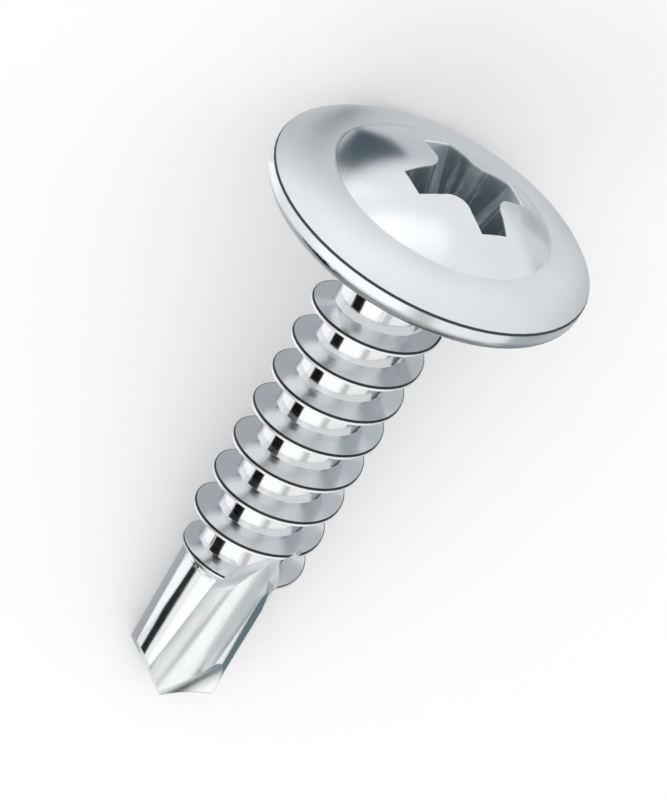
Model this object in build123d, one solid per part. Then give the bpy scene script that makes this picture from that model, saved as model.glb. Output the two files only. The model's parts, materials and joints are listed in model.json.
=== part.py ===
from build123d import *
from math import asin, atan2, cos, degrees, hypot, radians, sin, tan
import os

# Self-drilling screw with a wafer head, size 4.2 x 19, in millimetres.
# The screw is modelled along its own axis: Z = 0 is the bearing face under the head,
# +Z runs to the drill point and +Y is its front. It is laid down to rest at the end.

# Head
head_radius = 5.28
rim_round = 0.50
rim_height = 0.76
seam_width = 0.07
seam_depth = 0.05
dome_radius = 3.575
dome_base_height = 1.50
head_height = 2.60
flange_bulge = 0.20

# Cross recess: its mouth and its floor, and where it is struck
recess_mouth_height = 2.30
recess_depth = 2.15
recess_offset = 0.40
recess_turn = 45.0
mouth_wing_radius = 2.10
mouth_wing_width = 1.00
mouth_root_radius = 1.30
mouth_root_width = 1.20
mouth_valley_radius = 1.10
floor_wing_radius = 0.95
floor_wing_width = 0.62
floor_root_radius = 0.80
floor_root_width = 0.70
floor_valley_radius = 0.68
floor_cone_height = 0.22
wing_count = 4

# Shank
screw_length = 19.00
neck_radius = 1.60
neck_length = 1.30
neck_taper_length = 2.10
core_radius = 1.38

# Thread, right-handed; one crest passes the front at crest_at_front
thread_radius = 2.05
thread_pitch = 1.40
crest_width = 0.16
upper_flank_angle = 18.0
lower_flank_angle = 25.0
crest_at_front = 3.06
root_overlap = 0.15
end_turn_fall = 0.60
# The flat bearing face starts this far outside the crest, so a plate slides on over the thread
crest_clearance = 0.05

# Drill point: a plain cylinder under a bead, then fluted and ground
drill_length = 6.00
drill_radius = 1.58
bead_height = 0.05
bead_rise_length = 0.25
bead_fall_length = 0.20
web_radius = 0.42
flute_radius = 0.84
flute_direction = 21.0
flute_slant = 5.4
flute_middle_height = 4.0
flute_full_length = 4.27
run_out_radius = 1.98
run_out_turn = 50.0
hollow_radius = 0.95
hollow_distance = 1.83
hollow_direction = 49.2
hollow_height = 1.10
hollow_lean = 27.9
hollow_lean_direction = 245.0
chisel_direction = 43.5
flank_slope = 1.173

# How far cutting shapes reach past what they cut
overrun = 1.0
# The halves of the drill point are alike, half a turn apart
halves = (0, 180)
settling_rounds = 12


def turned(angle):
    """Unit direction across the axis, turned from the front (+Y) towards +X."""
    return Vector(sin(radians(angle)), cos(radians(angle)), 0)


def revolved(*outline):
    """Solid turned about Z from the edges of a half outline."""
    return revolve(make_face(list(outline)), Axis.Z)


def head():
    """Wafer head: bearing face, round rim, a fine seam, bulged flange and a low dome."""
    rim_circle_radius = head_radius - rim_round
    rim_corner = rim_round * (1 - cos(radians(45)))
    dome_rise = head_height - dome_base_height
    dome_curve = (dome_radius**2 + dome_rise**2) / (2 * dome_rise)
    half_angle = asin(dome_radius / dome_curve) / 2
    centre = Vector(0, 0, 0)
    face_edge = Vector(rim_circle_radius, 0, 0)
    rim_middle = Vector(head_radius - rim_corner, 0, -rim_corner)
    rim_side = Vector(head_radius, 0, -rim_round)
    rim_top = Vector(head_radius, 0, -rim_height)
    seam_bottom = Vector(head_radius - seam_depth, 0, -rim_height - seam_width / 2)
    flange_edge = Vector(head_radius - seam_depth / 2, 0, -rim_height - seam_width)
    dome_base = Vector(dome_radius, 0, -dome_base_height)
    dome_top = Vector(0, 0, -head_height)
    dome_middle = Vector(
        dome_curve * sin(half_angle), 0, dome_curve - head_height - dome_curve * cos(half_angle)
    )
    flange_run = flange_edge - dome_base
    flange_out = Vector(flange_run.Z, 0, -flange_run.X).normalized()
    flange_middle = (flange_edge + dome_base) / 2 + flange_out * flange_bulge
    return revolved(
        Line(centre, face_edge),
        ThreePointArc(face_edge, rim_middle, rim_side),
        Line(rim_side, rim_top),
        Line(rim_top, seam_bottom),
        Line(seam_bottom, flange_edge),
        ThreePointArc(flange_edge, flange_middle, dome_base),
        ThreePointArc(dome_base, dome_middle, dome_top),
        Line(dome_top, centre),
    )


def shank():
    """Neck, thread core, bead and drill cylinder as one turned shape."""
    drill_start = screw_length - drill_length
    bead_top = drill_start + bead_rise_length
    outline = Polyline(
        (0, 0, -overrun),
        (neck_radius, 0, -overrun),
        (neck_radius, 0, neck_length),
        (core_radius, 0, neck_length + neck_taper_length),
        (core_radius, 0, drill_start),
        (drill_radius + bead_height, 0, bead_top),
        (drill_radius, 0, bead_top + bead_fall_length),
        (drill_radius, 0, screw_length + overrun),
        (0, 0, screw_length + overrun),
        close=True,
    )
    return revolved(*outline.edges())


def blank():
    """Head and shank in one, with a fillet where the neck meets the bearing face."""
    body = head() + shank()
    under_head = body.edges().filter_by(GeomType.CIRCLE).filter_by_position(Axis.Z, 0, 0)
    neck_root = under_head.sort_by(SortBy.RADIUS)[0]
    return fillet(neck_root, thread_radius + crest_clearance - neck_radius)


def thread_turns():
    """Helical ridge, turn by turn: one that rises from the neck, full ones, one that sinks."""
    root_radius = core_radius - root_overlap
    upper_run = (thread_radius - root_radius) * tan(radians(upper_flank_angle))
    lower_run = (thread_radius - root_radius) * tan(radians(lower_flank_angle))
    ridge = make_face(
        Polyline(
            (root_radius, 0, -crest_width / 2 - upper_run),
            (thread_radius, 0, -crest_width / 2),
            (thread_radius, 0, crest_width / 2),
            (root_radius, 0, crest_width / 2 + lower_run),
            close=True,
        ).edges()
    )
    full_turn = sweep(ridge, path=Helix(thread_pitch, thread_pitch, core_radius), is_frenet=True)
    end_angle = degrees(atan2(end_turn_fall, thread_pitch))
    end_path = Helix(thread_pitch, thread_pitch, core_radius, cone_angle=-end_angle)
    last_turn = sweep(ridge, path=end_path, is_frenet=True)
    first_turn = Rot(180, 0, 0) * sweep(mirror(ridge, Plane.XY), path=end_path, is_frenet=True)
    # Turns start at +X, a quarter turn before the front
    start = crest_at_front - thread_pitch / 4
    count = int((screw_length - drill_length - start) / thread_pitch)
    turns = [Pos(0, 0, start) * first_turn]
    for number in range(count):
        turns.append(Pos(0, 0, start + number * thread_pitch) * full_turn)
    turns.append(Pos(0, 0, start + count * thread_pitch) * last_turn)
    return turns


def cross_section(depth):
    """Outline of the cross recess at a depth below its mouth, as a face across the axis."""
    share = depth / recess_depth
    wing_radius = mouth_wing_radius + (floor_wing_radius - mouth_wing_radius) * share
    wing_width = mouth_wing_width + (floor_wing_width - mouth_wing_width) * share
    root_radius = mouth_root_radius + (floor_root_radius - mouth_root_radius) * share
    root_width = mouth_root_width + (floor_root_width - mouth_root_width) * share
    valley_radius = mouth_valley_radius + (floor_valley_radius - mouth_valley_radius) * share
    step = 360 / wing_count
    edges = []
    for wing in range(wing_count):
        turn = recess_turn + wing * step
        root_in = Vector(root_radius, -root_width / 2).rotate(Axis.Z, turn)
        end_in = Vector(wing_radius, -wing_width / 2).rotate(Axis.Z, turn)
        end_out = Vector(wing_radius, wing_width / 2).rotate(Axis.Z, turn)
        root_out = Vector(root_radius, root_width / 2).rotate(Axis.Z, turn)
        valley = Vector(valley_radius, 0).rotate(Axis.Z, turn + step / 2)
        next_root = Vector(root_radius, -root_width / 2).rotate(Axis.Z, turn + step)
        edges += [Line(root_in, end_in), Line(end_in, end_out), Line(end_out, root_out)]
        edges.append(ThreePointArc(root_out, valley, next_root))
    return Pos(recess_offset, 0, depth - recess_mouth_height) * make_face(edges)


def recess():
    """Cross recess: four wings that narrow with depth, over a shallow cone."""
    mouth_room = recess_mouth_height - head_height - overrun / 2
    wings = loft([cross_section(mouth_room), cross_section(recess_depth)], ruled=True)
    cone = Cone(floor_valley_radius, 0, floor_cone_height, align=(Align.CENTER, Align.CENTER, Align.MIN))
    return wings + Pos(recess_offset, 0, recess_depth - recess_mouth_height) * cone


def flute(half):
    """Slot with a round bottom; its upper end rises out, further up on its leading side."""
    angle = flute_direction + half
    across = turned(angle + 90)
    slant = radians(flute_slant)
    axis = Vector(0, 0, 1)
    frame = Plane(
        origin=axis * (screw_length - flute_middle_height),
        x_dir=across * cos(slant) + axis * sin(slant),
        z_dir=axis * cos(slant) - across * sin(slant),
    )
    slot_centre = web_radius + flute_radius
    outer = thread_radius + overrun
    reach = screw_length - flute_middle_height
    slot_face = Pos(0, slot_centre) * Circle(flute_radius)
    slot_face += Pos(0, (slot_centre + outer) / 2) * Rectangle(2 * flute_radius, outer - slot_centre)
    slot = extrude(slot_face, reach, both=True)
    # The floor is level from here to the point; above, it follows a large roller
    full_depth = (flute_middle_height - flute_full_length) * cos(radians(run_out_turn))
    roller_centre = web_radius + run_out_radius
    room = Pos(0, roller_centre, full_depth) * Rot(0, 90, 0) * Cylinder(run_out_radius, 2 * reach)
    room += Pos(0, roller_centre, full_depth) * Box(
        2 * reach, 2 * run_out_radius, reach, align=(Align.CENTER, Align.CENTER, Align.MIN)
    )
    return frame * (slot & Rot(0, run_out_turn, 0) * room)


def lip_hollow(half):
    """Leaning cylinder that hollows a flute beside its cutting lip."""
    centre = turned(hollow_direction + half) * hollow_distance
    centre += Vector(0, 0, screw_length - hollow_height)
    lean = turned(hollow_lean_direction + half) * sin(radians(hollow_lean))
    lean += Vector(0, 0, cos(radians(hollow_lean)))
    return Plane(origin=centre, z_dir=lean) * Cylinder(hollow_radius, drill_length)


def flanks():
    """What is ground away beyond the two flat flanks, which meet at the chisel edge."""
    reach = drill_radius + overrun
    across = turned(chisel_direction + 90)
    frame = Plane(origin=(0, 0, 0), x_dir=across, z_dir=across.cross(Vector(0, 0, 1)))
    outline = Polyline(
        (0, screw_length),
        (reach, screw_length - flank_slope * reach),
        (reach, screw_length + 2 * overrun),
        (-reach, screw_length + 2 * overrun),
        (-reach, screw_length - flank_slope * reach),
        close=True,
    )
    return extrude(frame * make_face(outline.edges()), reach, both=True)


def screw_on_axis():
    """The whole screw, with its axis upright."""
    body = blank().fuse(*thread_turns())
    body -= recess()
    for half in halves:
        body -= flute(half)
    for half in halves:
        body -= lip_hollow(half)
    return body - flanks()


def resting_place(screw):
    """Where the screw lies at rest: its rim and two corners of one flute touch the ground."""
    drill_start = screw_length - drill_length
    corners = [Vector(*v) for v in screw.vertices() if v.Z > drill_start]
    rim_circle_radius = head_radius - rim_round
    spin = flute_direction
    tilt = 0.0
    # Each corner lowers the other's end a little, so spin and tilt are settled by turns
    for _ in range(settling_rounds):
        up = turned(spin) * cos(tilt) - Vector(0, 0, sin(tilt))
        side = turned(spin + 90)
        low_left = min((c for c in corners if c.dot(side) < 0), key=up.dot)
        low_right = min((c for c in corners if c.dot(side) > 0), key=up.dot)
        rise = up.dot(low_left) - up.dot(low_right)
        spin += degrees(rise / (cos(tilt) * (low_right.dot(side) - low_left.dot(side))))
        lowest = min((low_left, low_right), key=up.dot)
        run = lowest.Z + rim_round
        drop = rim_circle_radius + lowest.dot(turned(spin))
        tilt = atan2(drop, run) + asin(rim_round / hypot(run, drop))
    up = turned(spin) * cos(tilt) - Vector(0, 0, sin(tilt))
    forward = turned(spin) * sin(tilt) + Vector(0, 0, cos(tilt))
    level = Plane(origin=(0, 0, 0), x_dir=forward, z_dir=up).location.inverse()
    box = (level * screw).bounding_box()
    return Pos(-box.center().X, -box.center().Y, -box.min.Z) * level


if __name__ == "__main__":
    os.makedirs("parts", exist_ok=True)
    screw = screw_on_axis()
    export_step(resting_place(screw) * screw, "parts/screw.step")
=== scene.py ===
import bmesh
import bpy
import json
from math import cos, pi, radians, sin, tan
from mathutils import Matrix, Vector


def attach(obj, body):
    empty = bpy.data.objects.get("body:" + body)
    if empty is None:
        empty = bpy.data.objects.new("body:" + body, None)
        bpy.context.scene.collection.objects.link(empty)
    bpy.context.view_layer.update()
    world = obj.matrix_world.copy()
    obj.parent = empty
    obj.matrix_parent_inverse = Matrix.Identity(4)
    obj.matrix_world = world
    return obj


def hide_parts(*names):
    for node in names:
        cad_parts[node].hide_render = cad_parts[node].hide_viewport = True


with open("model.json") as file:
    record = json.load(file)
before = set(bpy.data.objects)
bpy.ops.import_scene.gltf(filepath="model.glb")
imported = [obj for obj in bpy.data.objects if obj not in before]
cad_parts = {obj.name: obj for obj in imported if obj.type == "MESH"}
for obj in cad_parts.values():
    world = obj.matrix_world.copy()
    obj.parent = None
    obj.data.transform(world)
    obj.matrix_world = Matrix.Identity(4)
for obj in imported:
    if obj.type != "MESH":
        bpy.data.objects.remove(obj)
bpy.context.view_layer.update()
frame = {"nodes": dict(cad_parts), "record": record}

# The screw's own frame, from the mounts: z along the axis to the point, x and y across it
MM = 0.001
mounts = {mount["name"]: mount for mount in frame["record"]["mounts"]}
axis = Vector(mounts["under_head"]["axis"]).normalized()
tip = Vector(mounts["drill_point"]["pos_m"])
face_point = Vector(mounts["under_head"]["pos_m"])
seat = tip + axis * (face_point - tip).dot(axis)
side = (face_point - seat).normalized()
front = axis.cross(side)

# Head, in millimetres; all heights on the axis are from the bearing face, and the head's are below 0
SEAM_HEIGHT = -0.795
DOME_RADIUS = 3.575
DOME_RISE = 1.10
DOME_TOP = -2.60
DOME_CURVE = (DOME_RADIUS**2 + DOME_RISE**2) / (2 * DOME_RISE)
RECESS_RADIUS = mounts["drive_recess"]["dims"]["r_mm"]
RECESS_OFFSET = (Vector(mounts["drive_recess"]["pos_m"]) - seat).dot(side) / MM

# Shank and drill point, in millimetres
SCREW_LENGTH = (tip - seat).length / MM
DRILL_START = SCREW_LENGTH - mounts["drill_point"]["dims"]["length_mm"]
NECK_RADIUS = 1.60
NECK_LENGTH = 1.30
NECK_TAPER_LENGTH = 2.10
CORE_RADIUS = 1.38
THREAD_RADIUS = mounts["thread"]["dims"]["r_mm"]
THREAD_PITCH = 1.40
CREST_WIDTH = 0.16
CREST_AT_FRONT = (Vector(mounts["thread"]["pos_m"]) - seat).dot(axis) / MM
FIRST_FULL_TURN = CREST_AT_FRONT - THREAD_PITCH / 4
FULL_TURNS = int((DRILL_START - FIRST_FULL_TURN) / THREAD_PITCH)
LAST_FULL_TURN = FIRST_FULL_TURN + FULL_TURNS * THREAD_PITCH
# In its first and its last turn the thread's crest sinks by this towards the core
END_TURN_FALL = 0.60
# The flutes run this far past the drill's start, into the last turns of the thread
RUN_OUT_LENGTH = 1.60

# Which faces near the flutes are still plated like the shank: those of the drill's round lands
# and of the thread's flanks, by how closely they face outwards or along the axis
LAND_COSINE = 0.97
FLANK_COSINE = 0.8
# Faces this much below the dome's surface, in millimetres, belong to the recess
RECESS_MARGIN = 0.02
# Room for rounding in heights, in millimetres
HEIGHT_MARGIN = 0.001
# Vertices closer than this, in metres, are one
MERGE_DISTANCE = 1e-7
# Edges that turn more than this stay sharp; the others are shaded smooth
SHARP_EDGE = radians(24)
# Samples for the slight rounding of the edges
EDGE_SAMPLES = 4
# The finish of the thread's last turns changes to the drill's over this length, in millimetres
DRILL_BLEND = 0.3

# Colours of the zinc plate, and of the painted light and shade on it
HEAD_GREY = (0.72, 0.745, 0.76)
HEAD_BRIGHT = (0.78, 0.80, 0.815)
HEAD_SPOT = (0.62, 0.65, 0.67)
# Painted shade: the rim's underside, where it turns under, is darkened
RIM_UNDER_SHADE = (0.18, 0.20, 0.215)
# Painted shade in the seam's crease between the flange and the rim
SEAM_SHADE = (0.05, 0.06, 0.065)
# Painted shade: the recess's zinc is darker than the head's, between two tones at random
RECESS_SHADE_DARK = (0.28, 0.34, 0.37)
RECESS_SHADE_PALE = (0.47, 0.525, 0.55)
# Painted reflection: pale streaks down the recess's walls
WALL_REFLECTION_STREAK = (0.85, 0.87, 0.88)
# Painted highlight on the recess's lip
LIP_HIGHLIGHT = (0.88, 0.90, 0.91)
SHANK_GREY = (0.75, 0.77, 0.785)
SHANK_BRIGHT = (0.81, 0.82, 0.835)
# Painted highlight on the thread's crest
CREST_HIGHLIGHT = (0.90, 0.91, 0.92)
# Painted shade: a dark line on the upper half of the crest
CREST_SHADE = (0.035, 0.045, 0.05)
FLUTE_GREY = (0.70, 0.73, 0.735)
FLUTE_BRIGHT = (0.78, 0.80, 0.805)
FLUTE_LINE = (0.58, 0.61, 0.63)
FLOOR_PAPER = (0.95, 0.95, 0.95)

# Camera, fitted to the photograph: it looks at the front from the head's end
VIEW_FALL = radians(30.9)
IMAGE_TURN = radians(30.42)
CAMERA_DISTANCE = 181.8 * MM
LENS_PIXELS = 6043.0
FRAME_HEIGHT_PIXELS = 800.0
SENSOR = 36.0
SEAT_RIGHT_OF_MIDDLE = 2.648 * MM
SEAT_ABOVE_MIDDLE = 4.859 * MM
# Clipping starts and ends this many times nearer and farther than the screw
CLIP_RATIO = 20

# Light of the white room on the floor and the screw; to the camera and to reflections it is white
ROOM_LIGHT = 0.95
# Half the floor's width, in metres
FLOOR_HALF_SIZE = 0.5

# Lamps: azimuth and elevation in degrees, size in metres, radiance, and level in reflections
LAMP_DISTANCE = 0.30
LAMPS = {
    "key_box": (-41.5, 30.4, (0.26, 0.30), 0.9, 1.25),
    "fill_box": (32, 30, (0.10, 0.20), 0.5, 1.05),
    "back_box": (-172, 9, (0.23, 0.11), 0.4, 1.3),
}

# Panels that only reflections see: azimuth and elevation, distance and size in metres, level
PANELS = {
    "white_low": (-157, 15, 0.29, (0.08, 0.07), 2.2),
    "grey_gap": (8, 42, 0.25, (0.05, 0.18), 0.68),
}

# Black card along the screw, for the dark stripe down its left: angle from the front, half its
# width as an angle, and its distance, start and end in millimetres
STRIP_TURN = radians(-53)
STRIP_HALF_ANGLE = radians(15)
STRIP_DISTANCE = 12
STRIP_START = 7.4
STRIP_END = 20.6
BLACK = (0.0, 0.0, 0.0)

# Cards that lie on the floor and that only reflections see: tone, height and corners in millimetres
FLOOR_CARDS = {
    "under_screw": ((0.43, 0.46, 0.48), 0.05, ((-8, -2.7), (10, -2.7), (10, 1.5), (-8, 1.5))),
    "white_left": (
        (1.16, 1.16, 1.18),
        0.06,
        ((-7, -3.6), (6.8, -3.6), (7, -2.75), (9.5, -2.75), (8.6, -11), (-7, -11)),
    ),
    "white_back": ((1.2, 1.2, 1.2), 0.05, ((-45, -10), (-16, -8.5), (-8, -12), (-20, -45))),
    "dark_left": ((0.01, 0.02, 0.02), 0.10, ((9.6, -4.7), (13, -4.7), (19, -15), (10, -13))),
    "dark_dome": (
        (0.07, 0.10, 0.12),
        0.09,
        ((-10.5, -2.4), (-12.5, -1.7), (-15.5, -1.2), (-17.5, -7), (-13.6, -5.9)),
    ),
    "grey_flange": (
        (0.46, 0.50, 0.52),
        0.08,
        ((-10, -9), (-10.2, -5), (-13.6, -5.9), (-16.5, -6.7), (-16.5, -9)),
    ),
    "light_back": ((0.76, 0.79, 0.80), 0.08, ((-11, 6.5), (-11, 13), (-19, 15), (-16.5, 7.5))),
    "grey_back": ((0.64, 0.67, 0.69), 0.07, ((-21, -10), (-9, -8), (-7, 6), (-16, 8.5), (-17, -1))),
    "grey_right": ((0.53, 0.57, 0.59), 0.05, ((-16, 5.5), (0, 5.5), (13, 7.5), (20, 30), (-22, 30))),
    "dark_floor": (
        (0.04, 0.05, 0.06),
        0.10,
        ((-3.5, 14), (-6.5, 13), (-14.5, 29.5), (-7.4, 29.5)),
    ),
    "teal_right": (
        (0.14, 0.20, 0.22),
        0.10,
        ((7.2, 2.5), (9, 2.75), (11, 3.1), (13.6, 3.7), (40, 6), (40, 20), (7.3, 6.2)),
    ),
}

# Cards that stand round the screw and that only reflections see: tone and corners in millimetres
STANDING_CARDS = {
    "grey_near": ((0.52, 0.56, 0.58), ((-12.5, 6, 0), (-1, 6, 0), (-1, 6, 3.4), (-12.5, 6, 2.8))),
    "grey_wall": ((0.45, 0.49, 0.51), ((-16, 30, 0), (22, 30, 0), (22, 30, 15), (-16, 30, 15))),
    "dark_wall": (
        (0.04, 0.05, 0.06),
        ((-14.5, 29.5, 0), (-7.4, 29.5, 0), (-7.4, 29.5, 14), (-14.5, 29.5, 14)),
    ),
    "dark_tip": ((0.0, 0.01, 0.02), ((14, 0.9, 0), (14, 3.4, 0), (14, 3.4, 1.3), (14, 0.9, 1.7))),
    "white_tip": ((1.3, 1.3, 1.3), ((20, -7, 1.2), (20, 2.2, 2.6), (20, 2.2, 8), (20, -7, 8))),
    "grey_tip_left": (
        (0.42, 0.45, 0.47),
        ((60, -32, 0), (60, -3, 0), (60, -3, 12), (60, -32, 12)),
    ),
    "grey_tip_right": (
        (0.42, 0.45, 0.47),
        ((60, 18, 0), (60, 50, 0), (60, 50, 14), (60, 18, 14)),
    ),
}


def direction(x, y, z):
    """Row-frame direction of a direction in the screw's own frame."""
    return (side * x + front * y + axis * z).normalized()


def on_screw(point):
    """Place of a row-frame point in the screw's own frame, in millimetres."""
    away = (point - seat) / MM
    return Vector((away.dot(side), away.dot(front), away.dot(axis)))


def towards(azimuth, elevation):
    """Row-frame direction from an azimuth and an elevation in degrees."""
    turn, lift = radians(azimuth), radians(elevation)
    return Vector((cos(lift) * cos(turn), cos(lift) * sin(turn), sin(lift)))


def reach_of(x, y):
    """Distance from the screw's axis, of numbers or of signals."""
    return (x * x + y * y) ** 0.5


def dome_height(reach):
    """Height of the dome's surface at a distance from the axis, of numbers or of signals."""
    return DOME_TOP + DOME_CURVE - (DOME_CURVE**2 - reach * reach) ** 0.5


def make_camera():
    """Camera fitted to the photograph's thread crests, rim and tip."""
    back = front * cos(VIEW_FALL) - axis * sin(VIEW_FALL)
    fall = axis * cos(VIEW_FALL) + front * sin(VIEW_FALL)
    right = side * cos(IMAGE_TURN) - fall * sin(IMAGE_TURN)
    down = side * sin(IMAGE_TURN) + fall * cos(IMAGE_TURN)
    camera_data = bpy.data.cameras.new("camera")
    camera_data.sensor_width = SENSOR
    camera_data.lens = LENS_PIXELS * SENSOR / FRAME_HEIGHT_PIXELS
    camera_data.clip_start = CAMERA_DISTANCE / CLIP_RATIO
    camera_data.clip_end = CAMERA_DISTANCE * CLIP_RATIO
    camera = bpy.data.objects.new("camera", camera_data)
    place = seat - right * SEAT_RIGHT_OF_MIDDLE + down * SEAT_ABOVE_MIDDLE + back * CAMERA_DISTANCE
    turn = Matrix((right, -down, back)).transposed().to_4x4()
    camera.matrix_world = Matrix.Translation(place) @ turn
    bpy.context.scene.collection.objects.link(camera)
    bpy.context.scene.camera = camera


class Graph:
    """Nodes of one material, or of the world."""

    def __init__(self, tree):
        self.tree = tree
        tree.nodes.clear()

    def node(self, kind, settings=None, inputs=None):
        """Adds a node: its settings first, then the values or links of its sockets."""
        added = self.tree.nodes.new(kind)
        for name, value in (settings or {}).items():
            setattr(added, name, value)
        for name, value in (inputs or {}).items():
            socket = socket_of(added.inputs, name)
            if isinstance(value, Signal):
                self.tree.links.new(value.socket, socket)
            else:
                socket.default_value = value
        return added

    def signal(self, kind, output, settings=None, inputs=None):
        """Adds a node and returns one of its outputs."""
        added = self.node(kind, settings, inputs)
        return Signal(self, socket_of(added.outputs, output))

    def math(self, operation, first, second=0.0, clamp=False):
        """Adds a Math node for one operation on numbers or signals."""
        settings = {"operation": operation, "use_clamp": clamp}
        return self.signal("ShaderNodeMath", "Value", settings, {0: first, 1: second})


class Signal:
    """Output socket of a graph, with Python's operators for its maths."""

    def __init__(self, graph, socket):
        self.graph = graph
        self.socket = socket

    def __add__(self, other):
        return self.graph.math("ADD", self, other)

    def __radd__(self, other):
        return self.graph.math("ADD", other, self)

    def __sub__(self, other):
        return self.graph.math("SUBTRACT", self, other)

    def __rsub__(self, other):
        return self.graph.math("SUBTRACT", other, self)

    def __mul__(self, other):
        return self.graph.math("MULTIPLY", self, other)

    def __rmul__(self, other):
        return self.graph.math("MULTIPLY", other, self)

    def __truediv__(self, other):
        return self.graph.math("DIVIDE", self, other)

    def __rtruediv__(self, other):
        return self.graph.math("DIVIDE", other, self)

    def __pow__(self, other):
        return self.graph.math("POWER", self, other)

    def size(self):
        """The value without its sign."""
        return self.graph.math("ABSOLUTE", self)

    def wrapped(self):
        """Distance from the nearest whole number, from -0.5 to 0.5."""
        return self - self.graph.math("ROUND", self)

    def clamped(self):
        """The value between 0 and 1."""
        return self.graph.math("ADD", self, clamp=True)

    def capped(self):
        """The value, but at most 1."""
        return self.graph.math("MINIMUM", self, 1.0)

    def angle_from(self, other):
        """Angle round the axis, from the other coordinate towards this one."""
        return self.graph.math("ARCTAN2", self, other)

    def rise(self, low, high):
        """0 up to low, 1 from high, smooth between them."""
        settings = {"interpolation_type": "SMOOTHSTEP"}
        inputs = {"Value": self, "From Min": low, "From Max": high}
        return self.graph.signal("ShaderNodeMapRange", "Result", settings, inputs)


def socket_of(sockets, name):
    """Socket by its number, its identifier or its name."""
    if isinstance(name, int):
        return sockets[name]
    for socket in sockets:
        if socket.identifier == name:
            return socket
    return sockets[name]


def screw_point(graph):
    """Position in the screw's own frame, in millimetres, at every point of the surface."""
    turn = Matrix((side, front, axis))
    inputs = {
        "Vector": graph.signal("ShaderNodeTexCoord", "Object"),
        "Location": -(turn @ seat) / MM,
        "Rotation": turn.to_euler(),
        "Scale": (1 / MM,) * 3,
    }
    return graph.signal("ShaderNodeMapping", "Vector", {"vector_type": "POINT"}, inputs)


def parts_of(graph, point):
    """The three coordinates of a point."""
    split = graph.node("ShaderNodeSeparateXYZ", None, {"Vector": point})
    return [Signal(graph, split.outputs[name]) for name in "XYZ"]


def joined(graph, x, y, z):
    """A point from three coordinates."""
    return graph.signal("ShaderNodeCombineXYZ", "Vector", None, {"X": x, "Y": y, "Z": z})


def noise(graph, point, waves, detail, roughness=0.5):
    """Noise between 0 and 1, with a number of waves in a unit of the point."""
    inputs = {"Vector": point, "Scale": waves, "Detail": detail, "Roughness": roughness}
    return graph.signal("ShaderNodeTexNoise", "Fac", {"noise_dimensions": "3D"}, inputs)


def blend(graph, share, first, second):
    """Colour between two colours or colour signals."""
    first, second = (c if isinstance(c, Signal) else (*c, 1) for c in (first, second))
    settings = {"data_type": "RGBA", "clamp_factor": True}
    inputs = {"Factor_Float": share, "A_Color": first, "B_Color": second}
    return graph.signal("ShaderNodeMix", "Result_Color", settings, inputs)


def finish(graph, colour, roughness, height, depth, edge):
    """Metal of a colour and roughness; bump depth and the edges' radius are in millimetres."""
    rounded = graph.signal("ShaderNodeBevel", "Normal", {"samples": EDGE_SAMPLES}, {"Radius": edge * MM})
    bump_inputs = {"Strength": 1.0, "Distance": depth * MM, "Height": height, "Normal": rounded}
    bump = graph.signal("ShaderNodeBump", "Normal", None, bump_inputs)
    inputs = {"Base Color": colour, "Metallic": 1.0, "Roughness": roughness, "Normal": bump}
    shader = graph.signal("ShaderNodeBsdfPrincipled", "BSDF", None, inputs)
    graph.node("ShaderNodeOutputMaterial", None, {"Surface": shader})


def new_material(name):
    """Empty material and its graph."""
    material = bpy.data.materials.new(name)
    material.use_nodes = True
    return material, Graph(material.node_tree)


def satin_head():
    """Head: bright zinc, polished on the dome and satin on the flange, with painted shade in the seam
    and under the rim.
    """
    material, graph = new_material("satin_head")
    point = screw_point(graph)
    x, y, z = parts_of(graph, point)
    reach = reach_of(x, y)
    below_seam = z - SEAM_HEIGHT
    cloud = noise(graph, point, waves=0.7, detail=3.0)
    mottle = noise(graph, point, waves=5.0, detail=4.0, roughness=0.6)
    grain = noise(graph, point, waves=38.0, detail=2.0, roughness=0.7)
    # The rim below the seam is polished like the dome; where it turns under, its colour is darkened as
    # painted shade
    on_flange = reach.rise(DOME_RADIUS - 0.02, DOME_RADIUS + 0.10)
    satin = on_flange * (1 - below_seam.rise(0.0, 0.03) * 1.2)
    turned_under = z.rise(-0.50, -0.28) * reach.rise(4.55, 4.85)
    in_seam = 1 - below_seam.size().rise(0.03, 0.055)
    colour = blend(graph, cloud, HEAD_GREY, HEAD_BRIGHT)
    colour = blend(graph, mottle.rise(0.58, 0.75) * 0.2, colour, HEAD_SPOT)
    # Painted shade darkens the rim where it turns under
    colour = blend(graph, turned_under * 0.9, colour, RIM_UNDER_SHADE)
    # Painted shade: the seam is darkened
    colour = blend(graph, in_seam * 0.95, colour, SEAM_SHADE)
    roughness = 0.17 + satin * 0.32 + cloud * 0.04 + mottle * 0.05 + in_seam * 0.2
    finish(graph, colour, roughness, grain, depth=0.0012, edge=0.03)
    return material


def dark_recess():
    """Recess: dull from the punch, its zinc darkened as painted shade, with painted reflections as pale
    streaks down its walls and a painted highlight on the lip.
    """
    material, graph = new_material("dark_recess")
    point = screw_point(graph)
    x, y, z = parts_of(graph, point)
    around = (x - RECESS_OFFSET).angle_from(y)
    down_walls = joined(graph, around * 4.0, z * 0.25, 0.0)
    streak = noise(graph, down_walls, waves=1.6, detail=4.0, roughness=0.65)
    stain = noise(graph, point, waves=3.0, detail=3.0)
    lip = 1 - (z - dome_height(reach_of(x, y))).rise(0.03, 0.09)
    # Painted shade: the recess is darker than the head's zinc
    colour = blend(graph, stain, RECESS_SHADE_DARK, RECESS_SHADE_PALE)
    # Painted reflections: pale streaks down the walls
    colour = blend(graph, streak.rise(0.54, 0.68), colour, WALL_REFLECTION_STREAK)
    # Painted highlight on the lip
    colour = blend(graph, lip * 0.9, colour, LIP_HIGHLIGHT)
    finish(graph, colour, 0.30 + stain * 0.12, streak, depth=0.01, edge=0.03)
    return material


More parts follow.
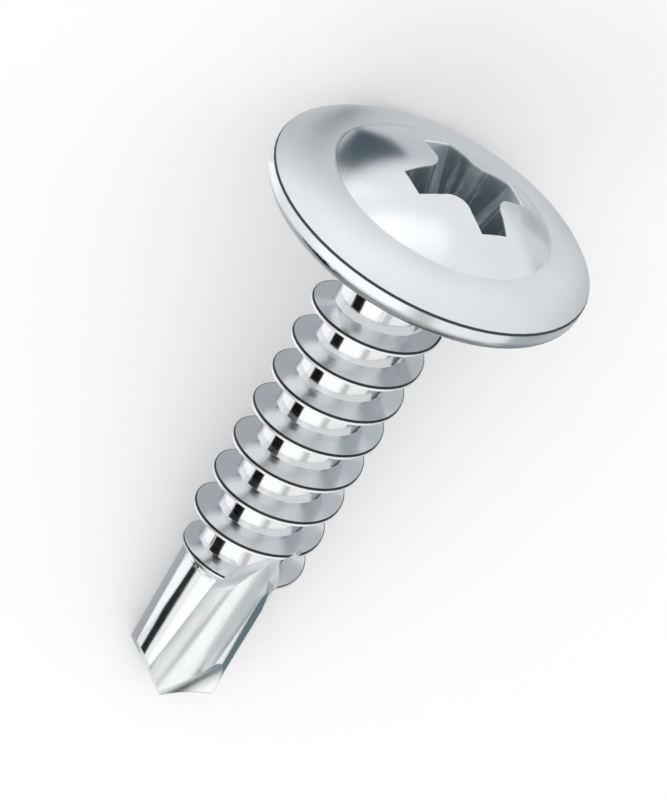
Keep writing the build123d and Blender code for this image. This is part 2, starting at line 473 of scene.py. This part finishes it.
def thread_masks(reach, around, z):
    """Where the thread's flanks are, its crest with its painted highlight, and the painted shade on the
    crest's upper half.
    """
    on_neck = 1 - ((z - NECK_LENGTH) / NECK_TAPER_LENGTH).clamped()
    root_reach = CORE_RADIUS + on_neck * (NECK_RADIUS - CORE_RADIUS)
    before_drill = 1 - z.rise(LAST_FULL_TURN, DRILL_START + DRILL_BLEND)
    on_flank = (reach - root_reach).rise(0.04, 0.14) * before_drill
    turns = (z - CREST_AT_FRONT) / THREAD_PITCH + around / (2 * pi)
    below_crest = turns.wrapped() * THREAD_PITCH
    sunk_before = ((FIRST_FULL_TURN - z) / THREAD_PITCH).clamped()
    sunk_after = ((z - LAST_FULL_TURN) / THREAD_PITCH).clamped()
    sunk = sunk_before + sunk_after
    crest_reach = THREAD_RADIUS - sunk * END_TURN_FALL
    # The crest's painted highlight and shade, and its roughness, end where the thread is nearly sunk
    on_crest = (reach - crest_reach).rise(-0.045, -0.02)
    on_crest = on_crest * (1 - below_crest.size().rise(CREST_WIDTH * 0.6, CREST_WIDTH * 0.8))
    on_crest = on_crest * (1 - sunk.rise(0.65, 0.75))
    crest_shade = on_crest * (1 - below_crest.rise(-0.02, 0.01))
    return on_flank, on_crest, crest_shade


def bright_shank():
    """Thread and drill point: near-mirror zinc, with drawn and rolled lines and a painted highlight and
    painted shade on the crest.
    """
    material, graph = new_material("bright_shank")
    point = screw_point(graph)
    x, y, z = parts_of(graph, point)
    reach = reach_of(x, y)
    around = x.angle_from(y)
    on_flank, on_crest, crest_shade = thread_masks(reach, around, z)
    on_drill = z.rise(DRILL_START, DRILL_START + DRILL_BLEND)
    cloud = noise(graph, point, waves=1.1, detail=3.0)
    along_axis = joined(graph, around * 3.0, z * 0.08, reach)
    drawn = noise(graph, along_axis, waves=14.0, detail=3.0, roughness=0.6)
    along_turns = joined(graph, around * 0.15, z * 6.0, reach * 6.0)
    rolled = noise(graph, along_turns, waves=3.0, detail=3.0, roughness=0.6)
    lines = drawn * on_drill + rolled * (1 - on_drill)
    colour = blend(graph, cloud, SHANK_GREY, SHANK_BRIGHT)
    # Painted highlight on the crest
    colour = blend(graph, on_crest, colour, CREST_HIGHLIGHT)
    # Painted shade on the crest's upper half
    colour = blend(graph, crest_shade, colour, CREST_SHADE)
    roughness = 0.075 + cloud * 0.04 + lines * 0.03 + on_flank * 0.10 + on_crest * 0.3
    finish(graph, colour, roughness, lines, depth=0.0008, edge=0.02)
    return material


def satin_flute():
    """Flutes and cutting point: duller, from the pinching dies."""
    material, graph = new_material("satin_flute")
    point = screw_point(graph)
    x, y, z = parts_of(graph, point)
    cloud = noise(graph, point, waves=1.3, detail=3.0)
    along_flute = joined(graph, x * 5.0, y * 5.0, z * 0.4)
    drawn = noise(graph, along_flute, waves=2.2, detail=4.0, roughness=0.6)
    grain = noise(graph, point, waves=40.0, detail=2.0, roughness=0.7)
    colour = blend(graph, cloud, FLUTE_GREY, FLUTE_BRIGHT)
    colour = blend(graph, drawn.rise(0.52, 0.75) * 0.3, colour, FLUTE_LINE)
    finish(graph, colour, 0.20 + drawn * 0.08 + cloud * 0.04, grain, depth=0.0015, edge=0.03)
    return material


# Slots of the screw's finishes, in the order in which make_screw adds them
HEAD, RECESS, SHANK, FLUTE = range(4)


def region(face):
    """Which finish a face of the screw has."""
    points = [on_screw(vert.co) for vert in face.verts]
    middle = sum(points, Vector()) / len(points)
    reach = reach_of(middle.x, middle.y)
    if max(point.z for point in points) <= HEIGHT_MARGIN:
        below_dome = middle.z - dome_height(reach)
        in_recess = reach < RECESS_RADIUS + RECESS_OFFSET and below_dome > RECESS_MARGIN
        return RECESS if in_recess else HEAD
    before_flutes = middle.z < DRILL_START - RUN_OUT_LENGTH
    on_land = face.normal.dot(direction(middle.x, middle.y, 0)) > LAND_COSINE
    on_flank = abs(face.normal.dot(axis)) > FLANK_COSINE
    return SHANK if before_flutes or on_land or on_flank else FLUTE


def placed(name, mesh):
    """Object of a mesh in the scene, with its place in the mesh."""
    data = bpy.data.meshes.new(name)
    mesh.to_mesh(data)
    mesh.free()
    thing = bpy.data.objects.new(name, data)
    bpy.context.scene.collection.objects.link(thing)
    return thing


def make_screw():
    """The screw itself: the solid's own form, with its facets joined and shaded smooth."""
    mesh = bmesh.new()
    mesh.from_mesh(frame["nodes"]["screw"].data)
    bmesh.ops.remove_doubles(mesh, verts=mesh.verts, dist=MERGE_DISTANCE)
    for face in mesh.faces:
        face.smooth = True
        face.material_index = region(face)
    for edge in mesh.edges:
        if len(edge.link_faces) == 2 and edge.calc_face_angle() > SHARP_EDGE:
            edge.smooth = False
    screw = placed("dressed_screw", mesh)
    for make in (satin_head, dark_recess, bright_shank, satin_flute):
        screw.data.materials.append(make())
    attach(screw, "root")
    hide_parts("screw")


def make_floor():
    """Plain pale floor."""
    mesh = bmesh.new()
    bmesh.ops.create_grid(mesh, x_segments=1, y_segments=1, size=FLOOR_HALF_SIZE)
    floor = placed("floor", mesh)
    material, graph = new_material("floor_paper")
    paper = graph.signal("ShaderNodeBsdfDiffuse", "BSDF", None, {"Color": (*FLOOR_PAPER, 1)})
    graph.node("ShaderNodeOutputMaterial", None, {"Surface": paper})
    floor.data.materials.append(material)


def softbox(name, out, distance, size, radiance):
    """Rectangular lamp of even brightness that faces the screw; reflections don't see it."""
    lamp_data = bpy.data.lights.new(name, "AREA")
    lamp_data.shape = "RECTANGLE"
    lamp_data.size, lamp_data.size_y = size
    lamp_data.energy = radiance * pi * size[0] * size[1]
    lamp = bpy.data.objects.new(name, lamp_data)
    turn = out.to_track_quat("Z", "Y").to_matrix().to_4x4()
    lamp.matrix_world = Matrix.Translation(out * distance) @ turn
    lamp.visible_glossy = False
    bpy.context.scene.collection.objects.link(lamp)


def card(name, tone, corners):
    """Plain card near the screw that only its reflections see; corners in millimetres."""
    mesh = bmesh.new()
    mesh.faces.new([mesh.verts.new(Vector(corner) * MM) for corner in corners])
    board = placed(name, mesh)
    board.visible_camera = False
    board.visible_diffuse = False
    board.visible_shadow = False
    material, graph = new_material(name)
    glow = graph.signal("ShaderNodeEmission", "Emission", None, {"Color": (*tone, 1)})
    graph.node("ShaderNodeOutputMaterial", None, {"Surface": glow})
    board.data.materials.append(material)


def panel(name, out, distance, size, level):
    """Card of one grey level that faces the screw from a direction."""
    turn = out.to_track_quat("Z", "Y").to_matrix()
    middle = out * distance / MM
    ways = ((-1, -1), (1, -1), (1, 1), (-1, 1))
    corners = [middle + turn @ Vector((size[0] * a, size[1] * b, 0)) / (2 * MM) for a, b in ways]
    card(name, (level, level, level), corners)


def make_strip():
    """Black card along the axis, for the dark stripe down the screw's left."""
    out = direction(sin(STRIP_TURN), cos(STRIP_TURN), 0)
    across = direction(cos(STRIP_TURN), -sin(STRIP_TURN), 0)
    half_width = STRIP_DISTANCE * tan(STRIP_HALF_ANGLE)
    middle = seat / MM + out * STRIP_DISTANCE
    ends = ((-1, STRIP_START), (1, STRIP_START), (1, STRIP_END), (-1, STRIP_END))
    corners = [middle + across * half_width * way + axis * along for way, along in ends]
    card("dark_strip", BLACK, corners)


def make_room():
    """White to the camera and to reflections; elsewhere it is an even light."""
    world = bpy.data.worlds.new("studio")
    bpy.context.scene.world = world
    world.use_nodes = True
    graph = Graph(world.node_tree)
    path = graph.node("ShaderNodeLightPath")
    kinds = ("Is Camera Ray", "Is Glossy Ray", "Is Transmission Ray")
    camera_ray, glossy_ray, clear_ray = [Signal(graph, path.outputs[kind]) for kind in kinds]
    seen = (camera_ray + glossy_ray + clear_ray).capped()
    level = seen * (1 - ROOM_LIGHT) + ROOM_LIGHT
    inputs = {"Color": (1, 1, 1, 1), "Strength": level}
    glow = graph.signal("ShaderNodeBackground", "Background", None, inputs)
    graph.node("ShaderNodeOutputWorld", None, {"Surface": glow})


def make_studio():
    """Key lamp at the front left, weaker lamps at the right and behind the head, and the cards."""
    for name, (azimuth, elevation, size, radiance, level) in LAMPS.items():
        out = towards(azimuth, elevation)
        softbox(name, out, LAMP_DISTANCE, size, radiance)
        panel(name + "_seen", out, LAMP_DISTANCE, size, level)
    for name, (azimuth, elevation, distance, size, level) in PANELS.items():
        panel(name, towards(azimuth, elevation), distance, size, level)
    make_strip()
    for name, (tone, height, corners) in FLOOR_CARDS.items():
        card(name, tone, [(*corner, height) for corner in corners])
    for name, (tone, corners) in STANDING_CARDS.items():
        card(name, tone, corners)


bpy.context.scene.view_settings.view_transform = "Standard"
make_camera()
make_screw()
make_floor()
make_room()
make_studio()
